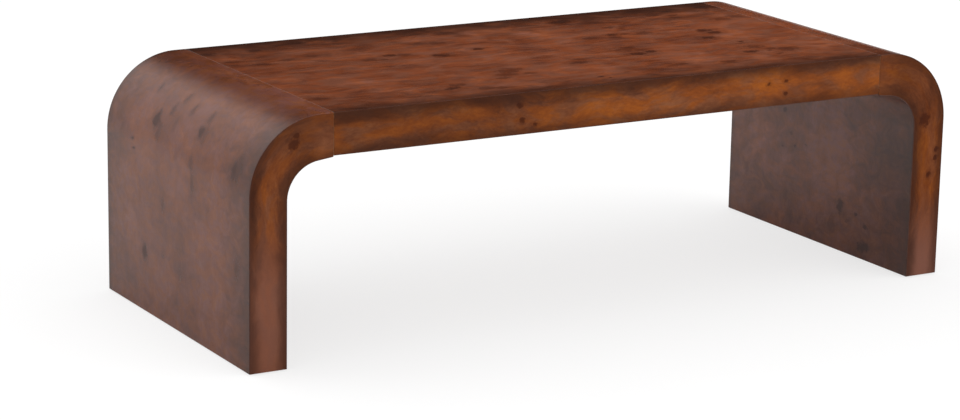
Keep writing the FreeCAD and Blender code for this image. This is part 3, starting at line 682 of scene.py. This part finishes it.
# What several burls share
LEG_EYES = Eyes(per_metre=15.0, threshold=0.65, least_radius=0.12, greatest_radius=0.24, darkness=1.0)
LEG_LACQUER = Lacquer(ior=1.25, roughness=0.25)
LEG_PATTERN = Pattern(clouds=0.75, figure=0.7, streaks=0.3, fine_streaks=0.3,
                      shorter=1.6, streaks_along=40.0, streaks_across=100.0)
# How pale the leg seam lines are: wear and painted highlight
LEG_RUBBED_AND_HIGHLIT = 0.07
LEG_BORDERS = Toning(front_width=0.034, front_share=0.4, back_width=0.022, back_share=0.6)
FLAT_PATTERN = Pattern(clouds=0.8, figure=0.9, streaks=0.8, fine_streaks=0.5,
                       shorter=0.55, streaks_along=15.0, streaks_across=130.0)
EDGE_EYES = Eyes(per_metre=26.0, threshold=0.64, least_radius=0.12, greatest_radius=0.30, darkness=0.9)
EDGE_LACQUER = Lacquer(ior=1.15, roughness=0.34)
EDGE_PATTERN = Pattern(clouds=0.8, figure=0.9, streaks=0.6, fine_streaks=0.5,
                       shorter=0.35, streaks_along=30.0, streaks_across=70.0)
# How pale the edge seam lines are: wear and painted highlight
EDGE_RUBBED_AND_HIGHLIT = 0.8
BAND = 0.3

top_burl = burl(
    "burl_top", TOP_BROWN, TOP_ROSE,
    toning=[Toning(front_width=0.044, front_share=0.68, back_width=0.090, back_share=0.92),
            Toning(front_width=0.12, front_share=0.40, back_width=0.20, back_share=0.47)],
    eyes=Eyes(per_metre=30.0, threshold=0.67, least_radius=0.12, greatest_radius=0.30, darkness=0.95),
    lacquer=Lacquer(ior=1.18, roughness=0.28),
    pattern=FLAT_PATTERN,
    rubbed=0.04,
    knots=[Knots(TOP_LAYER, strength=0.95, long_by=1.35, places=TOP_DARK_KNOTS),
           Knots(TOP_LAYER, strength=0.55, long_by=1.6, places=TOP_FAINT_KNOTS)],
    fade=0.13)
left_outside_burl = burl(
    "burl_leg_outside", LEG_BROWN, LEG_ROSE,
    toning=[LEG_BORDERS, Toning(front_width=0.13, front_share=0.48, back_width=0.12, back_share=0.3)],
    eyes=LEG_EYES,
    lacquer=LEG_LACQUER,
    pattern=LEG_PATTERN,
    rubbed=LEG_RUBBED_AND_HIGHLIT,
    knots=[Knots(OUTSIDE_LAYERS[-1], strength=1.0, long_by=1.45, places=OUTSIDE_DARK_KNOTS),
           Knots(OUTSIDE_LAYERS[-1], strength=0.5, long_by=1.7, places=OUTSIDE_FAINT_KNOTS)],
    # Painted shade: darker towards the floor
    foot=Foot(TONER_AND_PAINTED_SHADE, low=0.0, high=0.30, share=0.15),
    bend=BAND)
right_outside_burl = burl(
    "burl_right_outside", TOP_BROWN, TOP_ROSE,
    toning=[LEG_BORDERS, Toning(front_width=0.13, front_share=0.40, back_width=0.12, back_share=0.3)],
    eyes=LEG_EYES,
    lacquer=LEG_LACQUER,
    pattern=LEG_PATTERN,
    rubbed=LEG_RUBBED_AND_HIGHLIT,
    # Painted shade: darker towards the floor
    foot=Foot(TONER_AND_PAINTED_SHADE, low=0.0, high=0.40, share=0.35))
inside_burl = burl(
    "burl_leg_inside", LEG_BROWN, LEG_ROSE,
    toning=[Toning(front_width=0.050, front_share=0.5, back_width=0.016, back_share=0.6),
            Toning(front_width=0.24, front_share=0.45, back_width=0.14, back_share=0.35)],
    eyes=LEG_EYES,
    lacquer=Lacquer(ior=1.40, roughness=0.32),
    pattern=LEG_PATTERN._replace(clouds=1.3, figure=1.1, streaks=0.4, fine_streaks=0.4),
    rubbed=0.12,
    knots=[Knots(INSIDE_LAYERS[1], strength=1.0, long_by=1.5, places=INSIDE_DARK_KNOTS),
           Knots(INSIDE_LAYERS[1], strength=0.45, long_by=1.6, places=INSIDE_FAINT_KNOTS)],
    # Painted shade: darker towards the floor
    foot=Foot(TONER_AND_PAINTED_SHADE, low=0.0, high=0.16, share=0.17))
underside_burl = burl(
    "burl_underside", DULL, DULL,
    toning=[Toning(front_width=0.030, front_share=0.4, back_width=0.030, back_share=0.4)],
    eyes=Eyes(per_metre=24.0, threshold=0.60, least_radius=0.12, greatest_radius=0.36, darkness=0.6),
    lacquer=Lacquer(ior=1.3, roughness=0.45),
    pattern=FLAT_PATTERN._replace(figure=0.8, streaks=0.7, fine_streaks=0.4),
    rubbed=0.3)
left_edge_burl = burl(
    "burl_left_edge", AMBER, AMBER_ROSE,
    toning=[Toning(front_width=0.020, front_share=0.6, back_width=0.030, back_share=0.78)],
    eyes=EDGE_EYES,
    lacquer=EDGE_LACQUER,
    pattern=EDGE_PATTERN,
    rubbed=EDGE_RUBBED_AND_HIGHLIT,
    knots=[Knots(EDGE_LAYERS[-1, -1], strength=0.8, long_by=1.0, places=LEFT_EDGE_KNOTS)],
    foot=Foot(PALED, low=0.11, high=0.28, share=0.70),
    bend=BAND,
    fade=0.06)
right_edge_burl = burl(
    "burl_right_edge", AMBER_RED, AMBER_RED_ROSE,
    toning=[Toning(front_width=0.018, front_share=0.55, back_width=0.032, back_share=0.84)],
    eyes=EDGE_EYES,
    lacquer=EDGE_LACQUER,
    pattern=EDGE_PATTERN,
    rubbed=EDGE_RUBBED_AND_HIGHLIT,
    knots=[Knots(EDGE_LAYERS[1, -1], strength=0.9, long_by=1.1, places=RIGHT_EDGE_KNOTS)],
    foot=Foot(PALED, low=0.0, high=0.17, share=0.95),
    bend=BAND)
panel_edge_burl = burl(
    "burl_panel_edge", AMBER_BRIGHT, AMBER_ROSE_BRIGHT,
    toning=[Toning(front_width=0.040, front_share=0.86, back_width=0.015, back_share=0.5)],
    eyes=EDGE_EYES._replace(threshold=0.72),
    lacquer=EDGE_LACQUER,
    pattern=EDGE_PATTERN._replace(clouds=0.75, figure=0.8),
    rubbed=EDGE_RUBBED_AND_HIGHLIT,
    knots=[Knots(EDGE_LAYERS[0, -1], strength=0.8, long_by=1.3, places=TOP_EDGE_KNOTS)],
    fade=0.3)

# Stretches are in cells per metre along each axis of the table, and so is the metals' grain
finishes = {
    "plywood": raw_wood("plywood", colour("D2B48A"), colour("B08C5E"), stretch_by=(60.0, 12.0, 60.0)),
    "frame_wood": raw_wood("frame_wood", colour("D9C193"), colour("B89A68"), stretch_by=(40.0, 8.0, 40.0)),
    "dowel_wood": raw_wood("dowel_wood", colour("DDBE93"), colour("BF9669"),
                           stretch_by=(20.0, 220.0, 220.0)),
    "zinc_plated_steel": metal("zinc_plated_steel", colour("C9CBCB"), colour("A9ACAD"),
                               roughness=0.28, grain=900.0),
    "cast_zinc": metal("cast_zinc", colour("A6A8AA"), colour("84878A"), roughness=0.42, grain=700.0),
    "cap_plastic": plastic("cap_plastic", colour("3A2418"), colour("5B4032"), roughness=0.45),
    "glide_plastic": plastic("glide_plastic", colour("1D1D1E"), colour("4A4A4C"), roughness=0.4),
}

for entry in frame["record"]["subparts"]:
    if entry["material_slot"] in finishes:
        data = frame["nodes"][entry["node"]].data
        data.materials.clear()
        data.materials.append(finishes[entry["material_slot"]])

# Veneer sheets

legs = ((-1, "left", left_outside_burl, left_edge_burl), (1, "right", right_outside_burl, right_edge_burl))
for side, name, outside_burl, edge_burl in legs:
    sheet(name + "_outer_sheet", name + "_outer_veneer", outside_burl,
          face_stations(outer_line(), side), ARRIS_RADIUS, (False, True), OUTSIDE_LAYERS[side])
    sheet(name + "_inner_sheet", name + "_inner_veneer", inside_burl,
          face_stations(inner_line(), side), ARRIS_RADIUS, (False, True), INSIDE_LAYERS[side])
    for facing, place in ((-1, "front"), (1, "back")):
        sheet(f"{name}_{place}_edge_sheet", f"{name}_{place}_edge_veneer", edge_burl,
              edge_stations(side, facing), 0.0, (False, True), EDGE_LAYERS[side, facing])

sheet("top_sheet", "top_veneer", top_burl,
      panel_stations(-HALF_DEPTH, HEIGHT, (0, 1, 0), (0, 0, -1), DEPTH),
      ARRIS_RADIUS, (True, True), TOP_LAYER)
sheet("bottom_sheet", "bottom_veneer", underside_burl,
      panel_stations(-HALF_DEPTH, PANEL_UNDERSIDE, (0, 1, 0), (0, 0, 1), DEPTH),
      ARRIS_RADIUS, (True, True), UNDERSIDE_LAYER)
panel_edge = HEIGHT - PANEL_UNDERSIDE - 2 * VENEER
for facing, place in ((-1, "front"), (1, "back")):
    sheet(f"top_{place}_edge_sheet", f"top_{place}_edge_veneer", panel_edge_burl,
          panel_stations(facing * HALF_DEPTH, HEIGHT - VENEER, (0, 0, -1), (0, -facing, 0), panel_edge),
          0.0, (True, True), EDGE_LAYERS[0, facing])

# Studio

FLOOR_RADIUS = 80.0
FLOOR_SIDES = 128
FLOOR_PAINTS = (0.80, 0.82)
MOTTLE_SCALE = 3.0
PANEL_START = (math.radians(-82), math.radians(-62))
PANEL_END = (math.radians(-9), math.radians(15))
PANEL_LEVELS = ((0.0, 1.2), (0.25, 1.45), (0.42, 1.7), (0.62, 1.3), (0.75, 0.0))
SEEN_PAINT = 0.32
SEEN_GLOW = 0.7
MIRRORED_GLOW = 0.22
CEILING_LEVELS = ((0.0, 0.01), (0.46, 0.01), (0.64, 1.15), (1.0, 1.15))


def grey(level):
    return (level, level, level, 1.0)


def floor():
    """A white floor. The camera sees it nearly lit through, and mirrors see it glow a little."""
    mesh = bmesh.new()
    bmesh.ops.create_circle(mesh, cap_ends=True, segments=FLOOR_SIDES, radius=FLOOR_RADIUS)
    data = bpy.data.meshes.new("floor")
    mesh.to_mesh(data)
    mesh.free()
    shader = Shader("floor_paint", Specular_IOR_Level=0.0, Roughness=1.0)
    mottle = shader.noise(shader.place(), MOTTLE_SCALE)["Fac"]
    base = shader.mix(mottle, grey(FLOOR_PAINTS[0]), grey(FLOOR_PAINTS[1]))
    path = shader.add("ShaderNodeLightPath").outputs
    seen = path["Is Camera Ray"]
    mirrored = shader.maths("ADD", path["Is Glossy Ray"], path["Is Transmission Ray"], clamp=True)
    base = shader.mix(seen, base, grey(SEEN_PAINT))
    shader.connect(base, shader.surface.inputs["Base Color"])
    shader.surface.inputs["Emission Color"].default_value = grey(1.0)
    seen_glow = shader.maths("MULTIPLY", seen, SEEN_GLOW)
    lift = shader.maths("ADD", seen_glow, shader.maths("MULTIPLY", mirrored, MIRRORED_GLOW))
    shader.connect(lift, shader.surface.inputs["Emission Strength"])
    data.materials.append(shader.material)
    piece = bpy.data.objects.new("floor", data)
    bpy.context.scene.collection.objects.link(piece)


def world():
    """A soft ceiling, and soft panels behind the left end and, opposite, before the right end."""
    made = bpy.data.worlds.new("studio")
    bpy.context.scene.world = made
    made.use_nodes = True
    nodes = Nodes(made.node_tree)
    x, y, z = nodes.split(nodes.add("ShaderNodeTexCoord").outputs["Generated"])
    turn = nodes.maths("ARCTANGENT", nodes.maths("DIVIDE", x, y))
    started = nodes.between(turn, *PANEL_START)
    ended = nodes.between(turn, *PANEL_END, 1.0, 0.0)
    panel = nodes.ramp(z, [(place, grey(level)) for place, level in PANEL_LEVELS])
    ceiling = nodes.ramp(z, [(place, grey(level)) for place, level in CEILING_LEVELS])
    lit = nodes.mix(nodes.maths("MULTIPLY", started, ended), grey(0.0), panel)
    nodes.connect(nodes.mix(1.0, ceiling, lit, "ADD"), nodes.tree.nodes["Background"].inputs["Color"])


def camera():
    data = bpy.data.cameras.new("camera")
    data.lens = CAMERA_LENS_MM
    data.sensor_width = SENSOR_WIDTH_MM
    data.clip_end = CAMERA_SEES
    made = bpy.data.objects.new("camera", data)
    made.location = CAMERA_PLACE
    level = (CAMERA_AIM - CAMERA_PLACE).to_track_quat("-Z", "Y").to_matrix()
    made.rotation_euler = (level @ Matrix.Rotation(CAMERA_ROLL, 3, "Z")).to_euler()
    bpy.context.scene.collection.objects.link(made)
    bpy.context.scene.camera = made


floor()
world()
camera()
bpy.context.scene.view_settings.view_transform = "Standard"
